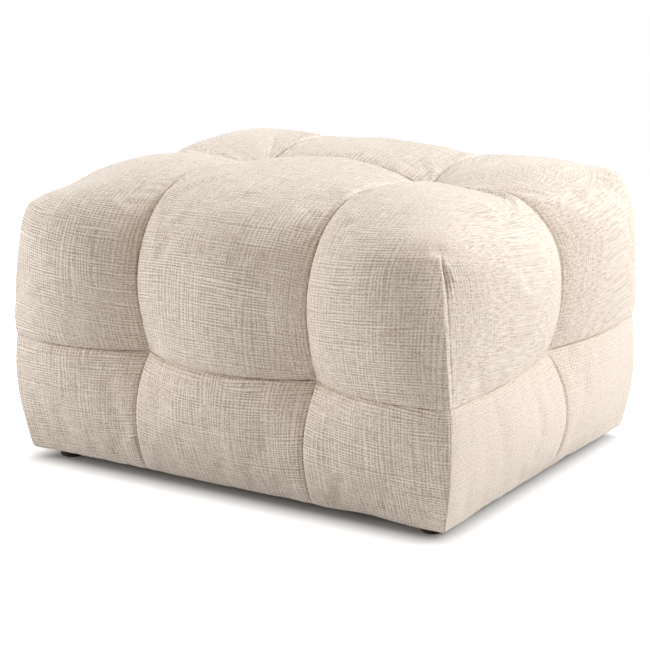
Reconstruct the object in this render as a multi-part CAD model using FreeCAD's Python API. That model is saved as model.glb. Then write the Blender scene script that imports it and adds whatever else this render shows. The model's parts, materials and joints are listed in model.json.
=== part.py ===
import FreeCAD, Part
import math
import os
from collections import namedtuple
from FreeCAD import Vector

# Tufted upholstered pouf, in millimetres.
# -Y is the long front, +X the right side and +Z up. The origin lies on the floor, midway between
# the four feet. The left half mirrors the right half. The tufts of the sides and of the top lie on
# one line behind the middle, so that the back fields are shorter than the front ones.

# Block that the cover is sewn for: the puffed fields swell beyond it, seams and tufts draw in
block_width = 735.0
block_depth = 597.4
block_height = 430.0

# Tufts: the upright seams, the level seam and the tufts of the faces meet in them
seam_x = 139.1
tuft_line_y = 32.5
tuft_height = 188.8
front_tuft_inset = 32.9
side_tuft_inset = 30.9
top_tuft_drop = 27.0

# Level seam around the block, drawn in at the corners, and the top seam between the top tufts
corner_inset = 10.7
middle_seam_swell = 47.2
outer_seam_swell = 30.7
side_seam_swell = 16.5
top_seam_rise = 26.4

# Soft top edge: inset and drop of the roll's centre from the block, radius of the roll, and the
# angles in degrees at which the face and the top run on from it
Roll = namedtuple("Roll", "inset drop radius face_angle top_angle")
front_seam_roll = Roll(145.5, 139.0, 138.0, -12.6, 88.7)
side_seam_roll = Roll(133.0, 135.5, 120.5, 3.7, 96.9)
corner_roll = Roll(104.1, 94.2, 79.0, 13.7, 74.1)

# Swell of the roll at the crown of a field, added to the roll between its seams
middle_swell = Roll(-65.5, -29.5, -31.5, 20.6, -10.8)
outer_swell = Roll(-61.5, -9.3, -12.4, 2.4, -8.6)
side_swell = Roll(-84.7, -27.0, -45.3, -0.9, -19.0)

# Sections along each half of a corner field, and along every other field
fan_steps = 6
field_steps = 6

# Lower edge of the cover: it rolls under the frame and ends in a stapled hem
cover_bottom = 15.9
bottom_inset = 22.4
bottom_roll = 12.0
bottom_seam_angle = -38.0
bottom_corner_angle = -20.0
bottom_crown_turn = -8.0
hem_thickness = 1.7
hem_width = 40.0

# Fine groove of the dart at a corner, and the width of the folded cloth behind it
dart_groove = 0.4
dart_width = 1.2

# Gap at the seam between two panels, and between a soft piece and what it lies on
seam_gap = 0.3
soft_gap = 0.3

# Foam, with the least padding left over it under a tuft
padding_at_face_tuft = 1.7
padding_at_top_tuft = 5.7
side_foam_thickness = 18.0
side_foam_lift = 12.0
seat_foam_thickness = 77.7
seat_foam_side_inset = 25.0
seat_foam_front_inset = 11.0

# Boards and timber of the frame
backing_thickness = 3.0
deck_thickness = 12.0
post_side = 45.0
rail_thickness = 22.0
bottom_rail_height = 70.0
cross_rail_width = 60.0

# Shares of the height from the tufts to the deck: half a middle rail, and a whole top rail. What
# is left is the space between them.
middle_rail_share = 0.25
top_rail_share = 0.5

# Tuft ties and their anchor buttons
tie_diameter = 3.0
tie_clearance = 0.3
tie_recess = 1.0
knot_diameter = 7.0
knot_length = 5.0
button_diameter = 24.0
button_thickness = 4.0

# Countersunk screws: each lies in a hole with this clearance all round. The stagger is the share
# of a rail's height by which its screw lies above or below its middle.
frame_screw_length = 70.0
deck_screw_length = 40.0
foot_screw_length = 27.0
screw_diameter = 4.5
screw_head_diameter = 8.8
screw_head_height = 3.5
screw_clearance = 0.15
screw_stagger_share = 0.15

# Feet and dust cover
dust_cover_thickness = 1.0
dust_cover_inset = 2.0
foot_top_diameter = 36.0
foot_base_diameter = 32.0
foot_edge_radius = 2.0
foot_recess_diameter = 12.0
foot_recess_depth = 4.5
foot_side_inset = 8.0
foot_front_inset = 6.0

# Places that follow from the sizes above
half_width = block_width / 2
half_depth = block_depth / 2
front_reach = half_depth + tuft_line_y
back_reach = half_depth - tuft_line_y
front_tuft_y = half_depth - front_tuft_inset
side_tuft_x = half_width - side_tuft_inset
top_tuft_z = block_height - top_tuft_drop
corner_x = half_width - corner_inset
frame_bottom = cover_bottom + hem_thickness + soft_gap
foam_x = side_tuft_x - padding_at_face_tuft - soft_gap
foam_y = front_tuft_y - padding_at_face_tuft - soft_gap
backing_x = foam_x - side_foam_thickness
backing_y = foam_y - side_foam_thickness
frame_x = backing_x - backing_thickness
frame_y = backing_y - backing_thickness
seat_foam_top = top_tuft_z - padding_at_top_tuft - soft_gap
seat_foam_x = frame_x - seat_foam_side_inset
seat_foam_y = frame_y - seat_foam_front_inset
deck_top = seat_foam_top - seat_foam_thickness
frame_top = deck_top - deck_thickness
hem_x = frame_x - hem_width
hem_y = frame_y - hem_width
dust_cover_top = cover_bottom - soft_gap
foot_height = dust_cover_top - dust_cover_thickness
foot_x = frame_x - foot_side_inset
foot_y = frame_y - foot_front_inset
rail_x = frame_x - rail_thickness
rail_y = frame_y - rail_thickness
post_x = frame_x - post_side
post_y = frame_y - post_side


def block(x0, x1, y0, y1, z0, z1):
    return Part.makeBox(x1 - x0, y1 - y0, z1 - z0, Vector(x0, y0, z0))


def turned_left(shape):
    return shape.mirror(Vector(), Vector(1, 0, 0))


def turned_back(shape):
    return shape.mirror(Vector(), Vector(0, 1, 0))


def group(shapes):
    return Part.makeCompound(shapes)


class SectionPlane:
    """Upright plane through an axis: its points have a reach from the axis and a height."""

    def __init__(self, x, y, degrees):
        self.origin = Vector(x, y, 0)
        turn = math.radians(degrees)
        self.outward = Vector(math.sin(turn), -math.cos(turn), 0)

    def at(self, point):
        return self.origin + self.outward * point.x + Vector(0, 0, point.y)


def on_circle(centre, radius, degrees):
    turn = math.radians(degrees)
    return centre + Vector(math.cos(turn), math.sin(turn), 0) * radius


def tangent_centre(centre, touch, end):
    """Centre of the arc that goes on smoothly from the circle at touch and ends at end."""
    normal = (touch - centre).normalize()
    span = touch - end
    return touch - normal * (span.dot(span) / (2 * span.dot(normal)))


def arc(plane, centre, start, end):
    radius = (start - centre).Length
    halfway = ((start - centre) + (end - centre)).normalize() * radius
    return Part.Arc(plane.at(start), plane.at(centre + halfway), plane.at(end)).toShape()


def line(plane, start, end):
    return Part.LineSegment(plane.at(start), plane.at(end)).toShape()


def upper_section(plane, seam, roll_centre, roll, top_end):
    """From the level seam up the face, over the soft edge and along the top, closed inside."""
    face_end = on_circle(roll_centre, roll.radius, roll.face_angle)
    top_start = on_circle(roll_centre, roll.radius, roll.top_angle)
    inner_foot = Vector(top_end.x, seam.y, 0)
    edges = [
        arc(plane, tangent_centre(roll_centre, face_end, seam), seam, face_end),
        arc(plane, roll_centre, face_end, top_start),
        arc(plane, tangent_centre(roll_centre, top_start, top_end), top_start, top_end),
        line(plane, top_end, inner_foot),
        line(plane, inner_foot, seam),
    ]
    return Part.Wire(edges)


def lower_section(plane, seam, edge_reach, roll_angle, hem_reach):
    """From the level seam down the face, round the lower edge and in to the hem, closed inside."""
    roll_centre = Vector(edge_reach - bottom_roll, cover_bottom + bottom_roll, 0)
    face_end = on_circle(roll_centre, bottom_roll, roll_angle)
    hem_start = Vector(roll_centre.x, cover_bottom, 0)
    hem_end = Vector(hem_reach, cover_bottom, 0)
    inner_top = Vector(hem_reach, seam.y, 0)
    edges = [
        arc(plane, tangent_centre(roll_centre, face_end, seam), seam, face_end),
        arc(plane, roll_centre, face_end, hem_start),
        line(plane, hem_start, hem_end),
        line(plane, hem_end, inner_top),
        line(plane, inner_top, seam),
    ]
    return Part.Wire(edges)


def roll_between(first, second, share, swell, crown):
    """Roll at a share of the way from one seam to the next, swollen by crown from 0 to 1."""
    sizes = [a + (b - a) * share + s * crown for a, b, s in zip(first, second, swell)]
    return Roll(*sizes)


def crown_at(share):
    return 4 * share * (1 - share)


def front_seam_point(depth, share):
    """Level seam of an outer front field, from the tuft at 0 to the corner at 1."""
    inset = front_tuft_inset + (corner_inset - front_tuft_inset) * share
    y = depth - inset + outer_seam_swell * crown_at(share)
    return seam_x + (corner_x - seam_x) * share, y


def side_seam_point(depth, share):
    """Level seam of a side field, from the corner at 0 to the tuft at 1."""
    x = corner_x + (side_tuft_x - corner_x) * share + side_seam_swell * crown_at(share)
    return x, (depth - corner_inset) * (1 - share)


def fan_plane(x, y, first, last, degrees):
    """Plane of a fan about an upright axis, which lies half a seam gap inside both its ends."""
    bisector = math.radians((first + last) / 2)
    shift = seam_gap / 2 / math.sin(math.radians(last - first) / 2)
    return SectionPlane(x + shift * math.sin(bisector), -y - shift * math.cos(bisector), degrees)


# The panels below are drawn in front of the tuft line, which is their y = 0. The depth is the one
# from that line to the face of the block.


def upper_middle_panel(depth):
    """Middle field: from the level seam over the soft edge to the tuft line on the top."""
    sections = []
    for step in range(field_steps + 1):
        share = step / field_steps
        crown = crown_at(share)
        roll = roll_between(front_seam_roll, front_seam_roll, 0, middle_swell, crown)
        plane = SectionPlane((seam_x - seam_gap / 2) * (2 * share - 1), 0, 0)
        seam_reach = depth - front_tuft_inset + middle_seam_swell * crown
        seam = Vector(seam_reach, tuft_height + seam_gap / 2, 0)
        centre = Vector(depth - roll.inset, block_height - roll.drop, 0)
        top_end = Vector(seam_gap / 2, top_tuft_z + top_seam_rise * crown, 0)
        sections.append(upper_section(plane, seam, centre, roll, top_end))
    return Part.makeLoft(sections, True)


def upper_fan(seam_points, block_reach, first_roll, last_roll, swell):
    """Fan of upper sections about the top tuft, from one seam round to the next."""
    turns = [math.atan2(x - seam_x, y) for x, y in seam_points]
    first = math.degrees(turns[0])
    last = math.degrees(turns[-1])
    sections = []
    for step, (x, y) in enumerate(seam_points):
        share = step / fan_steps
        turn = turns[step]
        roll = roll_between(first_roll, last_roll, share, swell, crown_at(share))
        plane = fan_plane(seam_x, 0, first, last, math.degrees(turn))
        seam = Vector(math.hypot(x - seam_x, y), tuft_height + seam_gap / 2, 0)
        centre = Vector(block_reach(turn) - roll.inset, block_height - roll.drop, 0)
        top_end = Vector(tie_diameter / 3, top_tuft_z, 0)
        sections.append(upper_section(plane, seam, centre, roll, top_end))
    return Part.makeLoft(sections, True)


def dart_allowance(depth):
    """Folded strip behind the corner dart: it joins both sides of the field just under the dart."""
    x = corner_x - seam_x
    y = depth - corner_inset
    turn = math.atan2(x, y)
    plane = SectionPlane(seam_x, 0, math.degrees(turn))
    seam = Vector(math.hypot(x, y) - dart_groove, tuft_height + seam_gap / 2 + dart_groove, 0)
    block_reach = depth / math.cos(turn)
    centre = Vector(block_reach - corner_roll.inset, block_height - corner_roll.drop, 0)
    roll = corner_roll._replace(radius=corner_roll.radius - dart_groove)
    top_end = Vector(tie_diameter / 3 + dart_groove, top_tuft_z - dart_groove, 0)
    face = Part.Face(upper_section(plane, seam, centre, roll, top_end))
    across = Vector(plane.outward.y, -plane.outward.x, 0) * dart_width
    return face.extrude(across).translated(across * -0.5)


def upper_corner_panel(depth):
    """Right field that goes round the corner, where its dart is sewn."""
    shares = [step / fan_steps for step in range(fan_steps + 1)]
    front_points = [front_seam_point(depth, share) for share in shares]
    side_points = [side_seam_point(depth, share) for share in shares]
    front = upper_fan(front_points, lambda turn: depth / math.cos(turn),
                      front_seam_roll, corner_roll, outer_swell)
    side = upper_fan(side_points, lambda turn: (half_width - seam_x) / math.sin(turn),
                     corner_roll, side_seam_roll, side_swell)
    return front.fuse([side, dart_allowance(depth)])


def lower_middle_panel(depth):
    sections = []
    for step in range(field_steps + 1):
        share = step / field_steps
        crown = crown_at(share)
        plane = SectionPlane((seam_x - seam_gap / 2) * (2 * share - 1), 0, 0)
        seam_reach = depth - front_tuft_inset + middle_seam_swell * crown
        seam = Vector(seam_reach, tuft_height - seam_gap / 2, 0)
        angle = bottom_seam_angle + bottom_crown_turn * crown
        hem_reach = depth - half_depth + hem_y
        sections.append(lower_section(plane, seam, depth - bottom_inset, angle, hem_reach))
    return Part.makeLoft(sections, True)


def lower_fan(points, axis_x, axis_y, first, last, edge, hem):
    """Fan of lower sections; points run from the tuft to the corner, angles from first to last."""
    sections = []
    for step, (x, y) in enumerate(points):
        share = step / field_steps
        turn = math.degrees(math.atan2(x - axis_x, y - axis_y))
        lean = math.cos(math.radians(abs(turn - first)))
        plane = fan_plane(axis_x, axis_y, min(first, last), max(first, last), turn)
        seam = Vector(math.hypot(x - axis_x, y - axis_y), tuft_height - seam_gap / 2, 0)
        angle = bottom_seam_angle + (bottom_corner_angle - bottom_seam_angle) * share
        angle += bottom_crown_turn * crown_at(share)
        sections.append(lower_section(plane, seam, edge / lean, angle, hem / lean))
    return Part.makeLoft(sections, True)


def lower_corner_panel(depth):
    """Right field of the front, up to the corner seam on the diagonal of the corner."""
    points = [front_seam_point(depth, step / field_steps) for step in range(field_steps + 1)]
    axis_y = seam_x - (half_width - depth)
    edge = depth - bottom_inset - axis_y
    hem = depth - half_depth + hem_y - axis_y
    return lower_fan(points, seam_x, axis_y, 0, 45, edge, hem)


def lower_side_panel(depth):
    """Front field of the right side, up to the same corner seam."""
    points = [side_seam_point(depth, 1 - step / field_steps) for step in range(field_steps + 1)]
    axis_x = half_width - depth
    edge = half_width - bottom_inset - axis_x
    return lower_fan(points, axis_x, 0, 90, 45, edge, hem_x - axis_x)


def screw_solid(length, head, direction, clearance=0):
    """Countersunk screw whose head lies flush at a point, or the hole that it lies in."""
    radius = screw_diameter / 2 + clearance
    head_radius = screw_head_diameter / 2 + clearance
    shank = Part.makeCylinder(radius, length + clearance, head, direction)
    cone = Part.makeCone(head_radius, radius, screw_head_height, head, direction)
    return shank.fuse(cone)


def foot_screw_places():
    return [(Vector(sx * foot_x, sy * foot_y, foot_recess_depth), Vector(0, 0, 1))
            for sx in (-1, 1) for sy in (-1, 1)]


def deck_screw_places():
    post_middle = post_side / 2
    rail_middle = rail_thickness / 2
    corners = [(sx * (frame_x - post_middle), sy * (frame_y - post_middle))
               for sx in (-1, 1) for sy in (-1, 1)]
    rails = [(0, frame_y - rail_middle), (0, rail_middle - frame_y)]
    rails += [(frame_x - rail_middle, 0), (rail_middle - frame_x, 0)]
    return [(Vector(x, y, deck_top), Vector(0, 0, -1)) for x, y in corners + rails]


def rail_levels():
    """Lower and upper edge of the three levels of rails."""
    space = frame_top - tuft_height
    return {
        "bottom": (frame_bottom, frame_bottom + bottom_rail_height),
        "middle": (tuft_height - space * middle_rail_share, tuft_height + space * middle_rail_share),
        "top": (frame_top - space * top_rail_share, frame_top),
    }


def frame_screw_places():
    """One screw through a post into each rail end, above one another, and one into each cross
    rail end through the top rail."""
    places = []
    rail_middle = rail_thickness / 2
    for low, high in rail_levels().values():
        middle = (low + high) / 2
        stagger = (high - low) * screw_stagger_share
        for sx in (-1, 1):
            for sy in (-1, 1):
                front = Vector(sx * frame_x, sy * (frame_y - rail_middle), middle + stagger)
                places.append((front, Vector(-sx, 0, 0)))
                side = Vector(sx * (frame_x - rail_middle), sy * frame_y, middle - stagger)
                places.append((side, Vector(0, -sy, 0)))
    for sx in (-1, 1):
        for sy in (-1, 1):
            cross = Vector(sx * seam_x, sy * frame_y, frame_top - rail_middle)
            places.append((cross, Vector(0, -sy, 0)))
    return places


def screws(length, places, clearance=0):
    return [screw_solid(length, head, direction, clearance) for head, direction in places]


def tufts():
    """Each tuft: its deepest point, the way its tie runs in, and the depth of its anchor face."""
    face_depth = padding_at_face_tuft + soft_gap + side_foam_thickness
    face_depth += backing_thickness + rail_thickness
    top_depth = top_tuft_z - frame_top + rail_thickness
    places = []
    for sy in (-1, 1):
        for sx in (-1, 1):
            point = Vector(sx * seam_x, sy * front_tuft_y, tuft_height)
            places.append((point, Vector(0, -sy, 0), face_depth))
    for sx in (-1, 1):
        point = Vector(sx * side_tuft_x, tuft_line_y, tuft_height)
        places.append((point, Vector(-sx, 0, 0), face_depth))
    for sx in (-1, 1):
        point = Vector(sx * seam_x, tuft_line_y, top_tuft_z)
        places.append((point, Vector(0, 0, -1), top_depth))
    return places


def tuft_tie(point, inward, depth):
    """Twine from just under the tuft, through everything behind it, to a knot on its button."""
    start = point + inward * tie_recess
    knot = point + inward * (depth + button_thickness)
    twine = Part.makeCylinder(tie_diameter / 2, (knot - start).Length, start, inward)
    return twine.fuse(Part.makeCylinder(knot_diameter / 2, knot_length, knot, inward))


def tie_hole(point, inward, depth):
    radius = tie_diameter / 2 + tie_clearance
    return Part.makeCylinder(radius, 2 * depth, point - inward * depth, inward)


def anchor_button(point, inward, depth):
    button = Part.makeCylinder(button_diameter / 2, button_thickness, point + inward * depth, inward)
    return button.cut(tie_hole(point, inward, depth + button_thickness))


def foot(x, y):
    """Low round foot, narrower at its base, with a recess and a hole for its screw."""
    base = foot_base_diameter / 2
    body = Part.makeCone(base, foot_top_diameter / 2, foot_height, Vector(x, y, 0))
    rim = [edge for edge in body.Edges if edge.BoundBox.ZMax < foot_edge_radius]
    body = body.makeFillet(foot_edge_radius, rim)
    recess = Part.makeCylinder(foot_recess_diameter / 2, foot_recess_depth, Vector(x, y, 0))
    return body.cut(recess)


tuft_list = tufts()
tie_holes = [tie_hole(*tuft) for tuft in tuft_list]
foot_screw_holes = screws(foot_screw_length, foot_screw_places(), screw_clearance)
deck_screw_holes = screws(deck_screw_length, deck_screw_places(), screw_clearance)
frame_screw_holes = screws(frame_screw_length, frame_screw_places(), screw_clearance)
frame_holes = foot_screw_holes + deck_screw_holes + frame_screw_holes + tie_holes

nodes = {}


def four_ways(name, front, right):
    """Front piece with its like at the back, and right piece with its like on the left."""
    nodes[name + "_front"] = front
    nodes[name + "_back"] = turned_back(front)
    nodes[name + "_right"] = right
    nodes[name + "_left"] = turned_left(right)


def left_and_right(name_start, name_end, right):
    nodes[name_start + "right" + name_end] = right
    nodes[name_start + "left" + name_end] = turned_left(right)


def cover_panels():
    """Puffed fields of the cover, hollowed out for the foam and the frame, with a hem below."""
    gap = soft_gap
    side_space = block(-foam_x - gap, foam_x + gap, -backing_y - gap, backing_y + gap,
                       frame_bottom - gap, deck_top + gap)
    front_space = block(-backing_x - gap, backing_x + gap, -foam_y - gap, foam_y + gap,
                        frame_bottom - gap, deck_top + gap)
    seat_x = seat_foam_x + gap
    seat_y = seat_foam_y + gap
    seat_space = block(-seat_x, seat_x, -seat_y, seat_y, deck_top, seat_foam_top + gap)
    under_space = block(-hem_x, hem_x, -hem_y, hem_y, 0, frame_bottom)
    spaces = [side_space, front_space, seat_space, under_space] + tie_holes + foot_screw_holes
    for end in ("front", "back"):
        depth = front_reach if end == "front" else back_reach
        panels = []
        for panel in (upper_middle_panel, lower_middle_panel, upper_corner_panel,
                      lower_corner_panel, lower_side_panel):
            shape = panel(depth)
            if end == "back":
                shape = turned_back(shape)
            shape = shape.translated(Vector(0, tuft_line_y, 0))
            panels.append(shape.cut(spaces))
        nodes["cover_upper_" + end + "_middle"] = panels[0]
        nodes["cover_lower_" + end + "_middle"] = panels[1]
        left_and_right("cover_upper_" + end + "_", "", panels[2])
        left_and_right("cover_lower_" + end + "_", "", panels[3])
        left_and_right("cover_lower_", "_" + end, panels[4])


def foams():
    seat = block(-seat_foam_x, seat_foam_x, -seat_foam_y, seat_foam_y, deck_top, seat_foam_top)
    nodes["seat_foam"] = seat.cut(tie_holes)
    low = frame_bottom + side_foam_lift
    front = block(-backing_x, backing_x, -foam_y, -backing_y, low, deck_top)
    right = block(backing_x, foam_x, -backing_y, backing_y, low, deck_top)
    four_ways("side_foam", front.cut(tie_holes), right.cut(tie_holes))


def boards():
    """Backing boards behind the side foams, and the deck that carries the seat foam."""
    front = block(-backing_x, backing_x, -backing_y, -frame_y, frame_bottom, deck_top)
    right = block(frame_x, backing_x, -frame_y, frame_y, frame_bottom, deck_top)
    four_ways("backing_board", front.cut(tie_holes), right.cut(tie_holes))
    deck = block(-frame_x, frame_x, -frame_y, frame_y, frame_top, deck_top)
    nodes["seat_deck"] = deck.cut(tie_holes + deck_screw_holes)


def timber():
    """Corner posts, three levels of rails that butt between them, and two rails across."""
    post = block(post_x, frame_x, -frame_y, -post_y, frame_bottom, frame_top).cut(frame_holes)
    left_and_right("corner_post_front_", "", post)
    left_and_right("corner_post_back_", "", turned_back(post))
    for level, (low, high) in rail_levels().items():
        front = block(-post_x, post_x, -frame_y, -rail_y, low, high)
        right = block(rail_x, frame_x, -post_y, post_y, low, high)
        four_ways(level + "_rail", front.cut(frame_holes), right.cut(frame_holes))
    cross = block(seam_x - cross_rail_width / 2, seam_x + cross_rail_width / 2,
                  -rail_y, rail_y, frame_top - rail_thickness, frame_top)
    left_and_right("cross_rail_", "", cross.cut(frame_holes))


def fastenings():
    nodes["side_tuft_ties"] = group([tuft_tie(*tuft) for tuft in tuft_list[:-2]])
    nodes["top_tuft_ties"] = group([tuft_tie(*tuft) for tuft in tuft_list[-2:]])
    nodes["tuft_anchor_buttons"] = group([anchor_button(*tuft) for tuft in tuft_list])
    nodes["frame_screws"] = group(screws(frame_screw_length, frame_screw_places()))
    nodes["deck_screws"] = group(screws(deck_screw_length, deck_screw_places()))
    nodes["foot_screws"] = group(screws(foot_screw_length, foot_screw_places()))


def underside():
    cover_x = frame_x - dust_cover_inset
    cover_y = frame_y - dust_cover_inset
    dust_cover = block(-cover_x, cover_x, -cover_y, cover_y, foot_height, dust_cover_top)
    nodes["dust_cover"] = dust_cover.cut(foot_screw_holes)
    front_foot = foot(foot_x, -foot_y).cut(foot_screw_holes)
    left_and_right("foot_front_", "", front_foot)
    left_and_right("foot_back_", "", turned_back(front_foot))


cover_panels()
foams()
boards()
timber()
fastenings()
underside()

os.makedirs("parts", exist_ok=True)
for name, shape in nodes.items():
    shape.exportStep("parts/" + name + ".step")
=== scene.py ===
import json
import math
from collections import namedtuple
from functools import partialmethod, reduce
import bpy
import numpy as np
from mathutils import Matrix, Vector


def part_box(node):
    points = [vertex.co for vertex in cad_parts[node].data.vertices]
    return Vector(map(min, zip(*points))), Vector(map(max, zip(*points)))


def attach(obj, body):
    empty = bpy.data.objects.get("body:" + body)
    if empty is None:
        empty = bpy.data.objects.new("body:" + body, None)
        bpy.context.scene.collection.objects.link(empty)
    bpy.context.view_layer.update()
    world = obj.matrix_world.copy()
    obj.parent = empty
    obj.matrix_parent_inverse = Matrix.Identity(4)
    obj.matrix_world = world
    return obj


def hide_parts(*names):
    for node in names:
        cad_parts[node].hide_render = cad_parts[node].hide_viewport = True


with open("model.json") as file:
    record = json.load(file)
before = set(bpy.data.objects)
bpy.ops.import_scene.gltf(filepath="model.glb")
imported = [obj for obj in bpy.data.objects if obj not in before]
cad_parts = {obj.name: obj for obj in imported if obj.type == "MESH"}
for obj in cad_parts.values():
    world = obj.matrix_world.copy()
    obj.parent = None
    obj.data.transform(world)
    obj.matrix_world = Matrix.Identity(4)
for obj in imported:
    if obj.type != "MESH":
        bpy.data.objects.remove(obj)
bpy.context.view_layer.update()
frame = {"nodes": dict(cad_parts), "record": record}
nodes = frame["nodes"]

# Tufted upholstered pouf. Shapes are worked out in millimetres, in the frame of the CAD model, and
# become metres when a mesh is made. -Y is the long front, +X the right side and +Z up.
mm = 0.001

# Block that the cover is sewn for, and the seam lines that the frame gives
block_width = 735.0
block_depth = 597.4
block_height = 430.0
seam_gap = 0.3
upper_middle_low, upper_middle_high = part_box("cover_upper_front_middle")
tuft_height = upper_middle_low.z / mm - seam_gap / 2
tuft_line_y = upper_middle_high.y / mm + seam_gap / 2
seam_x = upper_middle_high.x / mm + seam_gap / 2
cover_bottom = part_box("cover_lower_front_middle")[0].z / mm
inside_nodes = ("side_foam_right", "side_foam_back", "seat_foam")
inside_corners = [tuple(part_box(node)[1] / mm) for node in inside_nodes]
frame_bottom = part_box("bottom_rail_front")[0].z / mm

# Tufts and seams: how far they are drawn in from the block, the swell of the seams between them,
# and how near the sections of a corner field come to the tuft of the top
front_tuft_inset = 32.9
side_tuft_inset = 30.9
top_tuft_z = 403.0
corner_inset = 10.7
seam_above, seam_below = tuft_height + seam_gap / 2, tuft_height - seam_gap / 2
middle_seam_swell = 47.2
outer_seam_swell = 30.7
side_seam_swell = 16.5
top_seam_rise = 26.4
hub_radius = 1.0

# Soft top edge: inset and drop of the roll's centre from the block, radius of the roll, and the
# angles in degrees at which the face and the top run on from it
Roll = namedtuple("Roll", "inset drop radius face_angle top_angle")
front_seam_roll = np.array(Roll(145.5, 139.0, 138.0, -12.6, 88.7))
side_seam_roll = np.array(Roll(133.0, 135.5, 120.5, 3.7, 96.9))
corner_roll = np.array(Roll(104.1, 94.2, 79.0, 13.7, 74.1))
middle_swell = np.array(Roll(-65.5, -29.5, -31.5, 20.6, -10.8))
outer_swell = np.array(Roll(-61.5, -9.3, -12.4, 2.4, -8.6))
side_swell = np.array(Roll(-84.7, -27.0, -45.3, -0.9, -19.0))

# Lower edge of the cover, which stands out a little and sags at the corners
bottom_inset = 22.4
bottom_roll = 7.0
corner_flare = 1.0
flare_power = 4
corner_sag = 1.2
sag_start = 0.55
sag_width = 36.0
bottom_seam_angle = -38.0
bottom_corner_angle = -20.0
bottom_crown_turn = -5.0
hem_width = 60.0

# Corner dart: it leans back with height and ends at its apex
dart_lean = 1.9
dart_apex_z = 380.0
dart_fade = 9.0
corner_softness = 24.0
softening_points = 300
softest_share = 6
corner_reach = 70.0
corner_meeting = 0.22

# Seams pull the cloth in, tufts gather it, and the filling leaves it slightly uneven
seam_pinch = 4.6
seam_pinch_width = 1.7
seam_hollow = 1.2
seam_hollow_width = 11.0
level_draw_reach = 40.0
corner_turn_power = 4
corner_calm = 95.0
level_seam_at_corner = 0.3
seam_at_hem = 0.1
hem_calm = 45.0
least_padding = 0.9
ripple_height = 0.3
ripple_pitch = 9.0
ripple_width = 7.0
ripple_drift = 60.0
ripple_swing = 2
pucker_height = 1.2
pucker_radius = 15.0
pucker_beats = (9, 14, 21)
least_pucker = 0.4
pucker_seeds = 7
unevenness = ((0.9, 130.0), (0.45, 48.0), (0.16, 17.0))
even_beside_seam = 20.0
wave_count = 14
wave_lengths = (0.7, 1.5)

# Corner seam, and the dart above it: its line runs beside the ridge of the front cloth, and the
# fold is deepest just below the apex, where the cloth of the side lies in short gathers
corner_seam_depth = 1.8
fold_depth = 6.5
seam_line_width = 1.2
fold_width = 2.2
ridge_width = 0.9
apex_shift = 1.8
seam_line_shift = 6.0
shift_length = 40.0
fold_place = 18.0
fold_length = 24.0
gather_height = 1.2
gather_reach = 22.0
gather_bend = 11.0
gather_pitch = 0.36
gathers_start = 0.2
gathers_end = 1.4
gathers_fade = 0.3

# Where the filling sits lower or higher than it would in an even pouf: place, size and shift
settled_places = (
    ((-300, -220, 412), 48, (0, 0, -11)),
    ((-336, -274, 388), 22, (-5.5, 0, 3)),
    ((-328, 95, 400), 42, (0, 0, 9)),
    ((338, 248, 398), 27, (4.5, 0, 12)),
    ((366, 264, 165), 60, (-4.5, 0, 0)),
    ((-265, -190, 434), 42, (0, 0, -6.5)),
    ((-135, 212, 420), 26, (0, 0, 5)),
    ((-306, 26, 424), 26, (0, 0, 4.5)),
    ((-348, -290, 185), 60, (-3, 0, 0)),
)

# Painted shade: the threads show clearest on the long faces, which lie in shade, and less over the
# lit top and side; they also show less where the threads of two faces meet on the bias
side_clearness = 0.2
top_clearness = 0.8
top_side_clearness = 0.42
bias_softness = 0.7
bias_width = 110.0

# Flat cloth: the share of a field's height at which its threads run level, and how far from the
# middle of the cloth a panel may be cut
level_row = {"upper": 0.2, "lower": 0.3}
cloth_offset = 400.0

# Mesh: spacing of the points over a field, and their places beside a seam. The inner face of a
# pad leaves out points by the back step.
point_spacing = 6.0
beside_seam = np.array([0.0, 0.8, 1.9, 3.3, 5.2, 7.8, 11.5])
beside_dart = np.append(np.arange(0.0, 21.0, 1.0), 24.0)
row_spacing = 3.2
row_length = {"upper": 560.0, "lower": 250.0}
arc_points = 40
lower_edge_points = 12
back_step = 4
pad_thickness = 9.0
least_thickness = 0.6
soft_gap = 0.2
tiny = 1e-9
far_away = 1e3

# Cloth simulation of the fields between their seams: the cloth starts a little smaller, the filling
# presses it out again, and its slight surplus settles in soft creases
cloth_step = 7.5
cloth_pressure = 4.0
cloth_growth = 0.008
cloth_frames = 20
cloth_quality = 6
cloth_start = {"upper": 7.0, "lower": 3.5}
cloth_most = 6.0
cloth_share = {"upper": 1.0, "lower": 0.5}
held_at_tuft = 32.0
held_at_hem = 12.0
full_beside_corner = 65.0
calm_beside_dart = 34.0

half_width = block_width / 2
half_depth = block_depth / 2
front_reach = half_depth + tuft_line_y
back_reach = half_depth - tuft_line_y
corner_x = half_width - corner_inset


def crown_at(share):
    return 4 * share * (1 - share)


def smooth_step(value):
    value = np.clip(value, 0, 1)
    return value * value * (3 - 2 * value)


def along(points, axis):
    """Distance along a grid of points in one of its two directions, starting at zero."""
    steps = np.linalg.norm(np.diff(points, axis=axis), axis=-1)
    start = np.zeros_like(np.take(steps, [0], axis=axis))
    return np.concatenate([start, np.cumsum(steps, axis=axis)], axis=axis)


def lengths(vectors):
    return np.linalg.norm(vectors, axis=-1, keepdims=True)


def stations(length, start=beside_seam, end=beside_seam, spacing=point_spacing):
    """Shares of a length, close together beside both seams, in a number that suits the back."""
    count = int((length - start[-1] - end[-1]) / spacing)
    while (count + len(start) + len(end) - 3) % back_step:
        count += 1
    middle = np.linspace(start[-1], length - end[-1], count)
    return np.concatenate([start[:-1], middle, length - end[-2::-1]]) / length


def tangent_centre(centre, touch, end):
    """Centre of the arc that goes on smoothly from a circle at touch and ends at end."""
    normal = touch - centre
    normal = normal / lengths(normal)
    span = touch - end
    reach = (span * span).sum(-1) / (2 * (span * normal).sum(-1))
    return touch - normal * reach[:, None]


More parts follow.
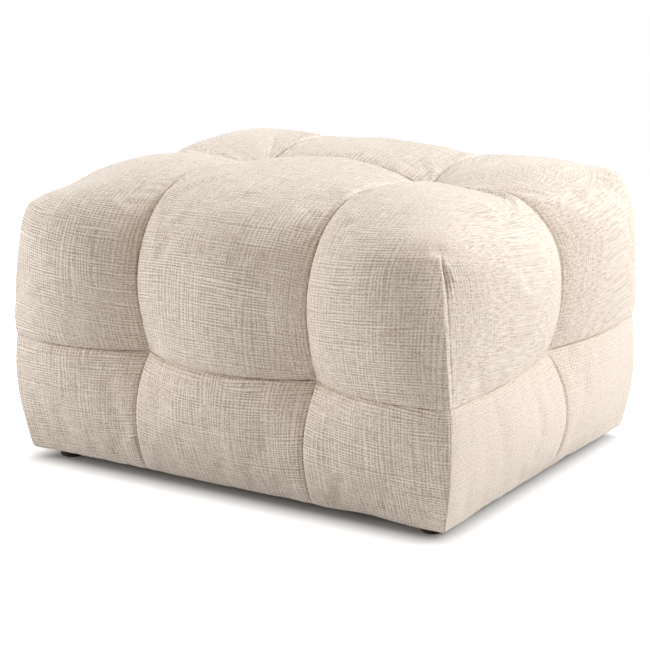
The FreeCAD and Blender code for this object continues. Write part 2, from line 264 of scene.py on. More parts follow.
def arc(centre, start, end, count=arc_points):
    first = np.arctan2(*(start - centre).T[::-1])
    last = np.arctan2(*(end - centre).T[::-1])
    turn = (last - first + np.pi) % (2 * np.pi) - np.pi
    angles = first[:, None] + turn[:, None] * np.linspace(0, 1, count)
    radius = np.linalg.norm(start - centre, axis=-1)[:, None, None]
    return centre[:, None] + radius * np.stack([np.cos(angles), np.sin(angles)], -1)


def on_circle(centre, radius, degrees):
    turn = np.radians(degrees)
    return centre + radius[:, None] * np.stack([np.cos(turn), np.sin(turn)], -1)


def resampled(path, shares):
    """Points of each path at the given shares of its length."""
    distance = along(path, 1)
    result = np.empty((len(path), len(shares), 2))
    for i, (points, reach) in enumerate(zip(path, distance)):
        for k in (0, 1):
            result[i, :, k] = np.interp(shares * reach[-1], reach, points[:, k])
    return result


def upper_paths(seam, centre, roll, top_end, shares):
    """Sections from the level seam up the face, over the soft edge and along the top."""
    face_end = on_circle(centre, roll[:, 2], roll[:, 3])
    top_start = on_circle(centre, roll[:, 2], roll[:, 4])
    face = arc(tangent_centre(centre, face_end, seam), seam, face_end)
    edge = arc(centre, face_end, top_start)
    top = arc(tangent_centre(centre, top_start, top_end), top_start, top_end)
    return resampled(np.concatenate([face, edge[:, 1:], top[:, 1:]], 1), shares)


def lower_paths(seam, edge_reach, roll_angle, hem_reach, sag, shares):
    """Sections from the level seam down the face, round the lower edge and in to the hem."""
    centre = pairs(edge_reach - bottom_roll, cover_bottom + bottom_roll - sag)
    radius = np.full(len(seam), bottom_roll)
    face_end = on_circle(centre, radius, roll_angle)
    hem_start = centre - np.array([0, bottom_roll])
    level = pairs(edge_reach - sag_width, cover_bottom)
    hem_end = pairs(hem_reach, np.full_like(edge_reach, cover_bottom))
    face = arc(tangent_centre(centre, face_end, seam), seam, face_end)
    edge = arc(centre, face_end, hem_start, lower_edge_points)
    path = np.concatenate([face, edge[:, 1:], level[:, None], hem_end[:, None]], 1)
    return resampled(path, shares)


def blend_rolls(first, last, share, swell):
    share = share[:, None]
    return first + (last - first) * share + swell * crown_at(share)


def pairs(first, second):
    return np.stack(np.broadcast_arrays(first, second), -1).astype(float)


class Field:
    """Grid of points over one field of the cover: columns across it, rows along the sections.

    Its own frame has y = 0 on the tuft line and y growing towards the face of the block. The lift
    is the direction in which seams draw the cloth in, the same on both sides of a seam.
    """

    def __init__(self, points, path, outward, seam_turn):
        self.points = points
        tangent = np.gradient(path, axis=1) * np.sign(path[:, -1:, 1:] - path[:, :1, 1:])
        normal = np.stack([tangent[..., 1], -tangent[..., 0]], -1)
        normal /= lengths(normal)
        section = outward[:, None] * normal[..., :1] + np.array([0, 0, 1]) * normal[..., 1:]
        level = np.stack([np.sin(seam_turn), np.cos(seam_turn), np.zeros_like(seam_turn)], -1)
        near_seam = smooth_step(along(points, 1) / level_draw_reach)[..., None]
        self.lift = level[:, None] * (1 - near_seam) + section * near_seam
        self.lift /= lengths(self.lift)


def front_seam_points(depth, share):
    inset = front_tuft_inset + (corner_inset - front_tuft_inset) * share
    return seam_x + (corner_x - seam_x) * share, depth - inset + outer_seam_swell * crown_at(share)


def side_seam_points(depth, share):
    """Level seam of a side field, from the corner at 0 to the tuft at 1."""
    side_tuft_x = half_width - side_tuft_inset
    x = corner_x + (side_tuft_x - corner_x) * share + side_seam_swell * crown_at(share)
    return x, (depth - corner_inset) * (1 - share)


def flat_field(path, share):
    """Middle field, whose sections stand side by side."""
    columns = (seam_x - seam_gap / 2) * (2 * share - 1)
    across = np.broadcast_to(columns[:, None, None], path[..., :1].shape)
    outward = np.tile([0.0, 1.0, 0.0], (len(columns), 1))
    return Field(np.concatenate([across, path], -1), path, outward, np.zeros_like(share))


def fan_field(path, axis, first, last, turns, lean, seam_turn):
    """Field whose sections stand round an upright axis, half a seam gap inside both its ends."""
    bisector = (first + last) / 2
    shift = seam_gap / 2 / np.sin(abs(last - first) / 2)
    origin = np.array([axis[0] + shift * np.sin(bisector), axis[1] + shift * np.cos(bisector)])
    leaned = turns[:, None] - lean
    across = np.stack([np.sin(leaned), np.cos(leaned)], -1)
    points = np.concatenate([origin + across * path[..., :1], path[..., 1:]], -1)
    outward = np.stack([np.sin(turns), np.cos(turns), np.zeros_like(turns)], -1)
    return Field(points, path, outward, seam_turn)


def middle_seam(depth):
    """Shares across a middle field, their crown, and how far out its level seam lies."""
    share = stations(2 * seam_x)
    crown = crown_at(share)
    return share, crown, depth - front_tuft_inset + middle_seam_swell * crown


def upper_middle_field(depth, rows):
    share, crown, reach = middle_seam(depth)
    roll = blend_rolls(front_seam_roll, front_seam_roll, share, middle_swell)
    centre = pairs(depth - roll[:, 0], block_height - roll[:, 1])
    top_end = pairs(seam_gap / 2, top_tuft_z + top_seam_rise * crown)
    return flat_field(upper_paths(pairs(reach, seam_above), centre, roll, top_end, rows), share)


def lower_middle_field(depth, rows):
    share, crown, reach = middle_seam(depth)
    angle = bottom_seam_angle + bottom_crown_turn * crown
    edge = np.full_like(share, depth - bottom_inset)
    hem, sag = edge - hem_width, np.zeros_like(share)
    return flat_field(lower_paths(pairs(reach, seam_below), edge, angle, hem, sag, rows), share)


def corner_turn(share, at_start):
    """Direction in which the level seam draws in: square to the face, diagonal at the corner."""
    diagonal = np.pi / 4
    if at_start:
        return np.pi / 2 - diagonal * (1 - share) ** corner_turn_power
    return diagonal * share ** corner_turn_power


def upper_fan(share, seam_points, block_reach, rolls, swell, rows, from_corner):
    x, y = seam_points
    turns = np.arctan2(x - seam_x, y)
    roll = blend_rolls(*rolls, share, swell)
    seam = pairs(np.hypot(x - seam_x, y), seam_above)
    centre = pairs(block_reach(turns) - roll[:, 0], block_height - roll[:, 1])
    hub = pairs(hub_radius, np.full_like(share, top_tuft_z))
    path = upper_paths(seam, centre, roll, hub, rows)
    near_corner = (1 - share if from_corner else share) ** 2
    rise = np.clip((path[..., 1] - tuft_height) / (dart_apex_z - tuft_height), 0, 1)
    lean = np.radians(dart_lean) * near_corner[:, None] * rise
    seam_turn = corner_turn(share, from_corner)
    return fan_field(path, (seam_x, 0), turns[0], turns[-1], turns, lean, seam_turn)


def upper_corner_field(depth, rows):
    """Outer field that wraps the corner; above the apex of its dart it is one smooth cloth."""
    corner = np.arctan2(corner_x - seam_x, depth - corner_inset)
    step = (half_width - seam_x) / np.sin(corner) - depth / np.cos(corner)

    def meeting(turn):
        return step / 2 * np.exp(-((turn - corner) / corner_meeting) ** 2)

    share = stations(corner_x - seam_x, beside_seam, beside_dart)
    field = upper_fan(share, front_seam_points(depth, share),
                      lambda turn: depth / np.cos(turn) + meeting(turn),
                      (front_seam_roll, corner_roll), outer_swell, rows, False)
    field.corner = len(share) - 1
    share = stations(depth - corner_inset, beside_dart, beside_seam)
    side = upper_fan(share, side_seam_points(depth, share),
                     lambda turn: (half_width - seam_x) / np.sin(turn) - meeting(turn),
                     (corner_roll, side_seam_roll), side_swell, rows, True)
    field.points = np.concatenate([field.points, side.points[1:]])
    field.lift = np.concatenate([field.lift, side.lift[1:]])
    heights = field.points[field.corner, :, 2]
    field.above_apex = smooth_step((heights - dart_apex_z) / dart_fade)
    field.above_apex[np.argmax(heights):] = 1
    soften_corner(field)
    return field


def soften_corner(field):
    """Rounds the cloth over the corner above the dart, where no seam holds it to an edge."""
    points = field.points
    for row, strength in enumerate(field.above_apex):
        if strength == 0:
            continue
        distance = along(points[:, [row]], 0)[:, 0]
        even = np.linspace(0, distance[-1], softening_points)
        spread = min(corner_softness * strength, distance[-1] / softest_share)
        step = even[1]
        reach = int(3 * spread / step) + 1
        weights = np.exp(-0.5 * (np.arange(-reach, reach + 1) * step / spread) ** 2)
        near = np.exp(-((distance - distance[field.corner]) / corner_reach) ** 2)
        for k in range(3):
            line = np.interp(even, distance, points[:, row, k])
            before = 2 * line[0] - line[reach:0:-1]
            after = 2 * line[-1] - line[-2:-reach - 2:-1]
            line = np.concatenate([before, line, after])
            soft = np.convolve(line, weights / weights.sum(), "valid")
            soft = np.interp(distance, even, soft)
            points[:, row, k] += (soft - points[:, row, k]) * near


def lower_fan(share, seam_points, axis, first, edge, rows, from_corner):
    """Outer field below the level seam, up to the seam on the diagonal of the corner."""
    x, y = seam_points
    turns = np.arctan2(x - axis[0], y - axis[1])
    lean = np.cos(turns - first)
    seam = pairs(np.hypot(x - axis[0], y - axis[1]), seam_below)
    to_corner = 1 - share if from_corner else share
    angle = bottom_seam_angle + (bottom_corner_angle - bottom_seam_angle) * to_corner
    angle = angle + bottom_crown_turn * crown_at(share)
    flare = corner_flare * to_corner ** flare_power
    sag = corner_sag * smooth_step((to_corner - sag_start) / (1 - sag_start))
    hem = (edge - hem_width) / lean
    path = lower_paths(seam, edge / lean + flare, angle, hem, sag, rows)
    return fan_field(path, axis, first, np.pi / 4, turns, 0, corner_turn(share, from_corner))


def lower_corner_field(depth, rows):
    share = stations(corner_x - seam_x)
    axis = (seam_x, seam_x - (half_width - depth))
    seam = front_seam_points(depth, share)
    return lower_fan(share, seam, axis, 0, depth - bottom_inset - axis[1], rows, False)


def lower_side_field(depth, rows):
    share = stations(depth - corner_inset)
    axis = (half_width - depth, 0)
    edge = half_width - bottom_inset - axis[0]
    return lower_fan(share, side_seam_points(depth, share), axis, np.pi / 2, edge, rows, True)


def waves(u, v, length, seed):
    """Soft random relief from -1 to 1 or so, with hollows of about the given length."""
    random = np.random.default_rng(seed)
    total = np.zeros_like(u)
    for _ in range(wave_count):
        turn = random.uniform(0, np.pi)
        pace = 2 * np.pi / (length * random.uniform(*wave_lengths))
        total += np.cos(pace * (u * np.cos(turn) + v * np.sin(turn)) + random.uniform(0, 2 * np.pi))
    return total / np.sqrt(wave_count)


def puckers(across, down, seed):
    """Small folds that run out from a tuft; across and down are the distances from it."""
    random = np.random.default_rng(seed)
    radius = np.hypot(across, down)
    turn = np.arctan2(down, across)
    folds = np.zeros_like(radius)
    for beats in pucker_beats:
        fold = np.cos(beats * turn + random.uniform(0, 2 * np.pi))
        folds += fold * random.uniform(least_pucker, 1)
    share = radius / pucker_radius
    return folds * share * np.exp(1 - share) / 2


def field_normals(points):
    normal = np.cross(np.gradient(points, axis=0), np.gradient(points, axis=1))
    return normal / np.maximum(lengths(normal), tiny)


def padding_under(points, depth):
    """Distance from the cover to the foam and the frame inside it, in the field's own frame."""
    x, y, z = np.abs(points[..., 0]), points[..., 1] - (depth - half_depth), points[..., 2]
    clear = [np.max([x - high[0], y - high[1], z - high[2]], axis=0) for high in inside_corners]
    return np.maximum(np.min(clear, axis=0), frame_bottom - z)


def dart_folds(field, offset):
    """Depth of the corner dart, and the height of the gathers beside it."""
    drop = dart_apex_z - field.points[..., 2]
    below = 1 - field.above_apex
    deep = np.exp(-((drop - fold_place) / fold_length) ** 2)
    depth = (corner_seam_depth + (fold_depth - corner_seam_depth) * deep) * below
    width = seam_line_width + (fold_width - seam_line_width) * deep
    shift = apex_shift + (seam_line_shift - apex_shift) * smooth_step(drop / shift_length)
    beyond = offset - shift
    fold = depth * np.where(beyond < 0, np.exp(beyond / ridge_width), np.exp(-beyond / width))
    drop = np.maximum(drop, 1)
    reach = offset * (drop + gather_bend) / (gather_reach * drop)
    gathers = -np.cos(2 * np.pi * (reach - 1) / gather_pitch)
    fade = smooth_step((gathers_end - reach) / gathers_fade)
    gathers *= fade * smooth_step((reach - gathers_start) / gathers_fade)
    return fold, gather_height * gathers * deep * below


def spaced(distance, breaks):
    """Indices of points at least a cloth step apart, with both ends and the breaks between them."""
    picked = [0]
    for start, end in zip(breaks[:-1], breaks[1:]):
        for i in range(start + 1, end):
            room = min(distance[i] - distance[picked[-1]], distance[end] - distance[i])
            if room >= cloth_step:
                picked.append(i)
        picked.append(end)
    return np.array(picked)


def spline_matrix(coarse, fine):
    """Matrix that carries values from coarse places to fine ones along a smooth line."""
    values = np.eye(len(coarse))
    slopes = np.gradient(values, coarse, axis=0)
    first = np.clip(np.searchsorted(coarse, fine, "right") - 1, 0, len(coarse) - 2)
    width = (coarse[first + 1] - coarse[first])[:, None]
    t = (fine - coarse[first])[:, None] / width
    start = (2 * t ** 3 - 3 * t ** 2 + 1) * values[first]
    start = start + (t ** 3 - 2 * t ** 2 + t) * width * slopes[first]
    end = (3 * t ** 2 - 2 * t ** 3) * values[first + 1]
    return start + end + (t ** 3 - t ** 2) * width * slopes[first + 1]


def tier(kind):
    """Whether a kind of field is an upper or a lower one."""
    return kind.split("_")[0]


class Sheet:
    """Coarse open sheet over a field, whose seams and tufts are held while its middle is free."""

    def __init__(self, field, kind):
        points = field.points
        across = along(points, 0).mean(1)
        down = along(points, 1).mean(0)
        breaks = [0, len(across) - 1]
        if kind == "upper_corner":
            breaks.insert(1, field.corner)
        columns, rows = spaced(across, breaks), spaced(down, [0, len(down) - 1])
        self.to_columns = spline_matrix(across[columns], across)
        self.to_rows = spline_matrix(down[rows], down)
        self.points = points[np.ix_(columns, rows)]
        self.lift = field.lift[np.ix_(columns, rows)]
        self.turned = (field_normals(self.points) * self.lift).sum() < 0
        held = np.zeros(self.points.shape[:2], bool)
        held[[0, -1]] = True
        held[:, [0, -1]] = True
        for column_end, row_end in field_tufts[kind]:
            tuft = self.points[0 if column_end == "first" else -1, 0 if row_end == "start" else -1]
            held |= np.linalg.norm(self.points - tuft, axis=-1) < held_at_tuft
        if kind == "upper_corner":
            held[list(columns).index(field.corner)] |= field.above_apex[rows] < 1
        held |= self.points[..., 2] < cover_bottom + held_at_hem
        self.held = held
        self.freedom = np.full(held.shape, cloth_share[tier(kind)])
        crowns = [crown_at(distance[picked] / distance[-1])
                  for distance, picked in ((across, columns), (down, rows))]
        smaller = cloth_start[tier(kind)] * np.outer(*crowns)
        if kind == "upper_corner":
            offset = across[columns] - across[field.corner]
            smaller *= 1 - np.exp(-(offset / full_beside_corner) ** 2)[:, None]
            near = np.exp(-(offset / calm_beside_dart) ** 2)
            self.freedom *= 1 - np.outer(near, 1 - field.above_apex[rows])
        self.start = self.points - self.lift * (smaller * ~held)[..., None]


def numbered(points):
    """Numbers of the points of a grid."""
    return np.arange(points.shape[0] * points.shape[1]).reshape(points.shape[:2])


def quads(ids, turned=False):
    """Faces between the points of a grid, from the numbers of the points."""
    corners = [ids[:-1, :-1], ids[1:, :-1], ids[1:, 1:], ids[:-1, 1:]]
    return np.stack(corners[::-1] if turned else corners, -1).reshape(-1, 4).tolist()


def sheet_mesh(sheets):
    vertices, faces, held = [], [], []
    for sheet in sheets:
        faces += quads(len(held) + numbered(sheet.points), sheet.turned)
        vertices += (sheet.start.reshape(-1, 3) * mm).tolist()
        held += sheet.held.ravel().tolist()
    mesh = bpy.data.meshes.new("cloth_sheets")
    mesh.from_pydata(vertices, [], faces)
    return mesh, np.flatnonzero(held).tolist()


def placed(name, data):
    """New object in the scene."""
    thing = bpy.data.objects.new(name, data)
    bpy.context.scene.collection.objects.link(thing)
    return thing


def pressed_out(fields):
    """Presses the fields out by a cloth simulation on sheets that are then taken away."""
    sheets = [Sheet(field, kind) for kind, field in fields]
    mesh, held = sheet_mesh(sheets)
    cloth = placed("cloth_sheets", mesh)
    cloth.vertex_groups.new(name="held").add(held, 1.0, "REPLACE")
    modifier = cloth.modifiers.new("cloth", "CLOTH")
    settings = modifier.settings
    settings.quality = cloth_quality
    settings.vertex_group_mass = "held"
    settings.use_pressure = True
    settings.uniform_pressure_force = cloth_pressure
    settings.shrink_min = -cloth_growth
    settings.effector_weights.gravity = 0.0
    modifier.collision_settings.use_collision = False
    modifier.point_cache.frame_end = cloth_frames
    for frame_number in range(1, cloth_frames + 1):
        bpy.context.scene.frame_set(frame_number)
    result = cloth.evaluated_get(bpy.context.evaluated_depsgraph_get()).to_mesh()
    places = np.empty(len(result.vertices) * 3)
    result.vertices.foreach_get("co", places)
    bpy.data.objects.remove(cloth)
    bpy.data.meshes.remove(mesh)
    bpy.context.scene.frame_set(1)
    places = places.reshape(-1, 3) / mm
    for (kind, field), sheet in zip(fields, sheets):
        count = sheet.held.size
        shift = places[:count].reshape(sheet.points.shape) - sheet.points
        places = places[count:]
        cap = np.minimum(1, cloth_most / np.maximum(lengths(shift), tiny))
        shift *= cap * sheet.freedom[..., None]
        shift = np.einsum("ac,bd,cdk->abk", sheet.to_columns, sheet.to_rows, shift)
        field.points = field.points + shift


def edge_distances(points):
    """Distance of each point of a field from its four edges."""
    first, down = along(points, 0), along(points, 1)
    return {"first": first, "last": first[-1:] - first, "start": down, "end": down[:, -1:] - down}


def uneven(field, seed):
    """Lets the filling lie a little uneven between the seams."""
    edges = edge_distances(field.points)
    nearest = np.min(list(edges.values()), axis=0)
    bumps = sum(height * waves(edges["first"], edges["start"], length, seed + int(length))
                for height, length in unevenness)
    bumps = bumps * (1 - np.exp(-nearest / even_beside_seam))
    field.points = field.points + field.lift * bumps[..., None]


def relief(field, seed, kind, depth):
    """Draws the cloth in at its seams and gathers it at its tufts."""
    points = field.points
    edges = edge_distances(points)
    first, down = edges["first"], edges["start"]
    corner = np.full(first.shape, far_away)
    if kind == "upper_corner":
        corner = np.abs(first - first[field.corner])
    if kind in corner_seams:
        corner = edges[corner_seams[kind]]
    above_hem = smooth_step((points[..., 2] - cover_bottom) / hem_calm)
    upright = seam_at_hem + (1 - seam_at_hem) * above_hem
    calm = smooth_step(corner / corner_calm)
    level = level_seam_at_corner + (1 - level_seam_at_corner) * calm
    strength = {"first": upright, "last": upright, "start": level, "end": 1}
    if kind in corner_seams:
        strength[corner_seams[kind]] = upright * corner_seam_depth / seam_pinch
    nearest = np.min([edges[name] for name in field_seams[kind]], axis=0)
    draw = np.zeros_like(first)
    for name in field_seams[kind]:
        distance = edges[name]
        pinch = seam_pinch * np.exp(-distance / seam_pinch_width)
        hollow = seam_hollow * np.exp(-(distance / seam_hollow_width) ** 2)
        draw = np.maximum(draw, strength[name] * (pinch + hollow))
    bumps = np.zeros_like(first)
    if kind == "upper_corner":
        fold, bumps = dart_folds(field, first - first[field.corner])
        draw = np.maximum(draw, fold)
    to_side = np.minimum(edges["first"], edges["last"])
    run = np.where(to_side < np.minimum(edges["start"], edges["end"]), down, first)
    swing = ripple_swing * waves(run, nearest, ripple_drift, seed)
    ripple = np.cos(2 * np.pi * run / ripple_pitch + swing)
    bumps += ripple_height * ripple * np.exp(-nearest / ripple_width) * above_hem
    for i, (column_end, row_end) in enumerate(field_tufts[kind]):
        folds = puckers(edges[column_end], edges[row_end], seed * pucker_seeds + i)
        bumps += pucker_height * folds
    spare = padding_under(points, depth) - least_padding
    draw = np.minimum(draw, np.maximum(spare, 0))
    normal = field_normals(points)
    if (normal * field.lift).sum() < 0:
        normal = -normal
    points = points - field.lift * draw[..., None] + normal * bumps[..., None]
    short = np.maximum(least_padding - padding_under(points, depth), 0)
    return points + field.lift * short[..., None]


def settled(points):
    """The filling of a real pouf isn't the same all round: some places sit lower or higher."""
    moved = points.copy()
    for place, size, shift in settled_places:
        distance = lengths(points - np.array(place))
        moved += np.exp(-0.5 * (distance / size) ** 2) * np.array(shift)
    return moved


def cloth_places(field, kind, rows):
    """Places on the flat cloth, in millimetres, where it follows the long face and the side."""
    points = field.points
    steps = np.diff(points[:, ::-1], axis=1)
    zero = np.zeros((len(points), 1))
    middle_row = np.searchsorted(rows, level_row[tier(kind)])
    reaches = []
    for across in (1, 0):
        down = np.cumsum(np.hypot(steps[..., across], steps[..., 2]), 1)
        down = np.concatenate([zero, down], 1)[:, ::-1]
        reaches.append(down - down[:, [middle_row]] + down[:, middle_row].mean())
    down_face, down_side = reaches
    if kind == "lower_side":
        on_side = np.stack([points[..., 1], down_side], -1)
        return on_side, on_side
    on_face = np.stack([points[..., 0], down_face], -1)
    return on_face, np.stack([points[:, -1:, 0] + down_side, points[..., 1]], -1)


def side_share(field, kind):
    """How far the threads follow the side rather than the long face."""
    shape = field.points.shape[:2]
    if kind != "upper_corner":
        return np.zeros(shape)
    first = along(field.points, 0)
    offset = first - first[field.corner]
    sharp = (np.arange(shape[0]) > field.corner)[:, None] * np.ones(shape)
    soft = smooth_step(0.5 + offset / np.clip(first[-1:] * 0.5, 1, bias_width))
    return sharp + (soft - sharp) * field.above_apex


def painted_shade_clearness(field, kind):
    """How clearly the threads show, as painted shade: fully on the long faces, which lie in shade,
    and least at the lit side.
    """
    share = side_share(field, kind)
    facing = field_normals(field.points) ** 2
    on_top = top_clearness + (top_side_clearness - top_clearness) * share
    # Painted shade: the clearness follows which way the cloth faces, so the threads stand out more
    # on the shaded long faces than on the lit top and side
    clearness = facing[..., 0] * side_clearness + facing[..., 1] + facing[..., 2] * on_top
    return clearness * (1 - bias_softness * crown_at(share))


def point_values(mesh, name, values):
    """Stores values of the outer face, and of the points behind it, on the points of a pad."""
    values = values.reshape(*values.shape[:2], -1)
    size = values.shape[2]
    behind = values[::back_step, ::back_step]
    both = np.concatenate([values.reshape(-1, size), behind.reshape(-1, size)])
    if size == 1:
        data = mesh.attributes.new(name, "FLOAT", "POINT").data
        data.foreach_set("value", both.ravel())
    else:
        data = mesh.attributes.new(name, "FLOAT_VECTOR", "POINT").data
        data.foreach_set("vector", np.pad(both * mm, ((0, 0), (0, 1))).ravel())


def closed_pad(name, points, inward, values, turned):
    """Closed mesh of a pad: its outer face, an inner face with fewer points, and the rim."""
    inner = (points + inward)[::back_step, ::back_step]
    vertices = np.concatenate([points.reshape(-1, 3), inner.reshape(-1, 3)]) * mm
    outer_ids = numbered(points)
    inner_ids = outer_ids.size + numbered(inner)
    faces = quads(outer_ids) + quads(inner_ids, True)
    rims = [(ids[:, 0], ids[-1], ids[::-1, -1], ids[0, ::-1]) for ids in (outer_ids, inner_ids)]
    for outer, inner_rim in zip(*rims):
        for i in range(len(inner_rim) - 1):
            front = outer[i * back_step:(i + 1) * back_step + 1].tolist()
            faces.append(front[::-1] + [int(inner_rim[i]), int(inner_rim[i + 1])])
    if turned:
        faces = [face[::-1] for face in faces]
    mesh = bpy.data.meshes.new(name)
    mesh.from_pydata(vertices.tolist(), [], faces)
    for value_name, value in values.items():
        point_values(mesh, value_name, value)
    mesh.shade_smooth()
    return mesh


field_makers = {
    "upper_middle": upper_middle_field,
    "lower_middle": lower_middle_field,
    "upper_corner": upper_corner_field,
    "lower_corner": lower_corner_field,
    "lower_side": lower_side_field,
}
field_seams = dict.fromkeys(field_makers, ("first", "last", "start"))
field_seams["upper_middle"] += ("end",)
field_tufts = {
    "upper_middle": (("first", "start"), ("last", "start"), ("first", "end"), ("last", "end")),
    "lower_middle": (("first", "start"), ("last", "start")),
    "upper_corner": (("first", "start"), ("last", "start"), ("first", "end")),
    "lower_corner": (("first", "start"),),
    "lower_side": (("last", "start"),),
}
corner_seams = {"lower_corner": "last", "lower_side": "first"}


def panel_nodes():
    """Node, kind of field, end and side of each panel of the cover."""
    for end in ("front", "back"):
        yield f"cover_upper_{end}_middle", "upper_middle", end, "right"
        yield f"cover_lower_{end}_middle", "lower_middle", end, "right"
        for side in ("left", "right"):
            yield f"cover_upper_{end}_{side}", "upper_corner", end, side
            yield f"cover_lower_{end}_{side}", "lower_corner", end, side
            yield f"cover_lower_{side}_{end}", "lower_side", end, side


def cover_panels(material):
    panels = list(panel_nodes())
    rows = {name: stations(length, spacing=row_spacing) for name, length in row_length.items()}
    depths = {"front": front_reach, "back": back_reach}
    fields = []
    for seed, (_, kind, end, _) in enumerate(panels, 1):
        field = field_makers[kind](depths[end], rows[tier(kind)])
        uneven(field, seed)
        fields.append((kind, field))
    pressed_out(fields)
    for seed, ((node, kind, end, side), (_, field)) in enumerate(zip(panels, fields), 1):
        on_face, on_side = cloth_places(field, kind, rows[tier(kind)])
        start = np.random.default_rng(seed).uniform(-cloth_offset, cloth_offset, 2)
        points = relief(field, seed, kind, depths[end])
        way = np.array([-1 if side == "left" else 1, 1 if end == "back" else -1, 1])
        room = padding_under(points, depths[end]) - soft_gap
        thickness = np.clip(room, least_thickness, pad_thickness)
        inward = -field.lift * thickness[..., None] * way
        points = settled(points * way + np.array([0, tuft_line_y, 0]))
        turned = way.prod() * (1 if tier(kind) == "upper" else -1) > 0
        values = {
            "place_on_face": on_face + start,
            "place_on_side": on_side + start,
            "side_share": side_share(field, kind),
            "weave_clearness_and_painted_shade": painted_shade_clearness(field, kind),
        }
        mesh = closed_pad(node + "_pad", points, inward, values, turned)
        mesh.materials.append(material)
        piece = placed(node.replace("cover", "quilted") + "_panel", mesh)
        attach(piece, "root")
        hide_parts(node)


class Nodes:
    """Short way to place and join shader nodes in one tree."""

    def __init__(self, tree):
        self.tree = tree

    def add(self, kind, **settings):
        kind = kind if kind.startswith("Node") else "ShaderNode" + kind
        node = self.tree.nodes.new(kind)
        for name, value in settings.items():
            setattr(node, name, value)
        return node

    def link(self, source, target):
        self.tree.links.new(source, target)

    def put(self, socket, value):
        if isinstance(value, bpy.types.NodeSocket):
            self.link(value, socket)
        elif value is not None:
            socket.default_value = value

    def feed(self, node, values):
        """Puts a value or a link into each named input of a node."""
        for name, value in values.items():
            self.put(node.inputs[name], value)

    def fed(self, kind, *values, **settings):
        """Adds a node, and puts a value or a link into each of its first inputs."""
        node = self.add(kind, **settings)
        for socket, value in zip(node.inputs, values):
            self.put(socket, value)
        return node

    def math(self, operation, *values):
        return self.fed("Math", *values, operation=operation).outputs[0]

    plus = partialmethod(math, "ADD")
    minus = partialmethod(math, "SUBTRACT")
    times = partialmethod(math, "MULTIPLY")

    def weighted(self, values, weights):
        """Sum of the values, each times its weight."""
        return reduce(self.plus, [self.times(*pair) for pair in zip(values, weights)])

    def vector(self, operation, *values):
        return self.fed("VectorMath", *values, operation=operation).outputs

    def spread(self, value, low, high, new_low, new_high):
        return self.fed("MapRange", value, low, high, new_low, new_high).outputs[0]

    def attribute(self, name):
        return self.add("Attribute", attribute_name=name).outputs

    def noise(self, place, seed, scale=1.0, detail=2.0, roughness=0.5):
        node = self.add("TexNoise", noise_dimensions="4D")
        self.feed(node, {"Vector": place, "W": seed, "Scale": scale, "Detail": detail,
                         "Roughness": roughness})
        return node.outputs["Fac"]

    def ramp(self, value, stops):
        node = self.fed("ValToRGB", value)
        stops = list(stops)
        elements = node.color_ramp.elements
        while len(elements) < len(stops):
            elements.new(0.5)
        for element, (place, colour) in zip(elements, stops):
            element.position = place
            element.color = (*colour, 1)
        return node.outputs["Color"]

    def bump(self, height, strength, distance):
        node = self.add("Bump")
        self.feed(node, {"Strength": strength, "Distance": distance, "Height": height})
        return node.outputs[0]


def node_group(name, inputs, outputs):
    """New group with its nodes and sockets; each input has a kind and a first value."""
    group = bpy.data.node_groups.new(name, "ShaderNodeTree")
    for socket_name, (kind, value) in inputs.items():
        socket = group.interface.new_socket(socket_name, in_out="INPUT",
                                            socket_type="NodeSocket" + kind)
        if value is not None:
            socket.default_value = value
    for socket_name in outputs:
        group.interface.new_socket(socket_name, in_out="OUTPUT", socket_type="NodeSocketFloat")
    n = Nodes(group)
    return group, n, n.add("NodeGroupInput").outputs, n.add("NodeGroupOutput").inputs


def new_material(name):
    material = bpy.data.materials.new(name)
    material.use_nodes = True
    tree = material.node_tree
    return material, Nodes(tree), tree.nodes["Principled BSDF"]


# Threads of the weave. Pitches and shifts are metres on the flat cloth, and paces are steps of
# noise to the metre. A range is the low and high end of a noise, and what the two become.
Thread = namedtuple("Thread", "along across name pitch line_pitch line_paces seed")
threads_of_weave = (
    Thread(0, 1, "Weft Pitch", 0.0036, 0.0041, (6.0, 55.0, 1.0), 3.7),
    Thread(1, 0, "Warp Pitch", 0.0040, 0.0056, (55.0, 6.0, 1.0), 8.3),
)
drift_pace = 14.0
drift_shift = 0.0055
slub_pace = 30.0
thick_pace = 9.0
thick_range = (0.60, 0.74, 0.0, 0.4)
gap_pace = 90.0
gap_range = (0.38, 0.62, 0.0, 1.0)
line_turns = 3.6
bold_range = (0.35, 0.65, 0.4, 1.9)
least_crown = 0.3
strand_roughness = 0.6
tone_weights = (0.7, 0.5)
line_weights = (0.52, 0.34)
gap_weights = (0.46, 0.32)
height_weights = (1.0, 0.7)
middle_tone = 0.60


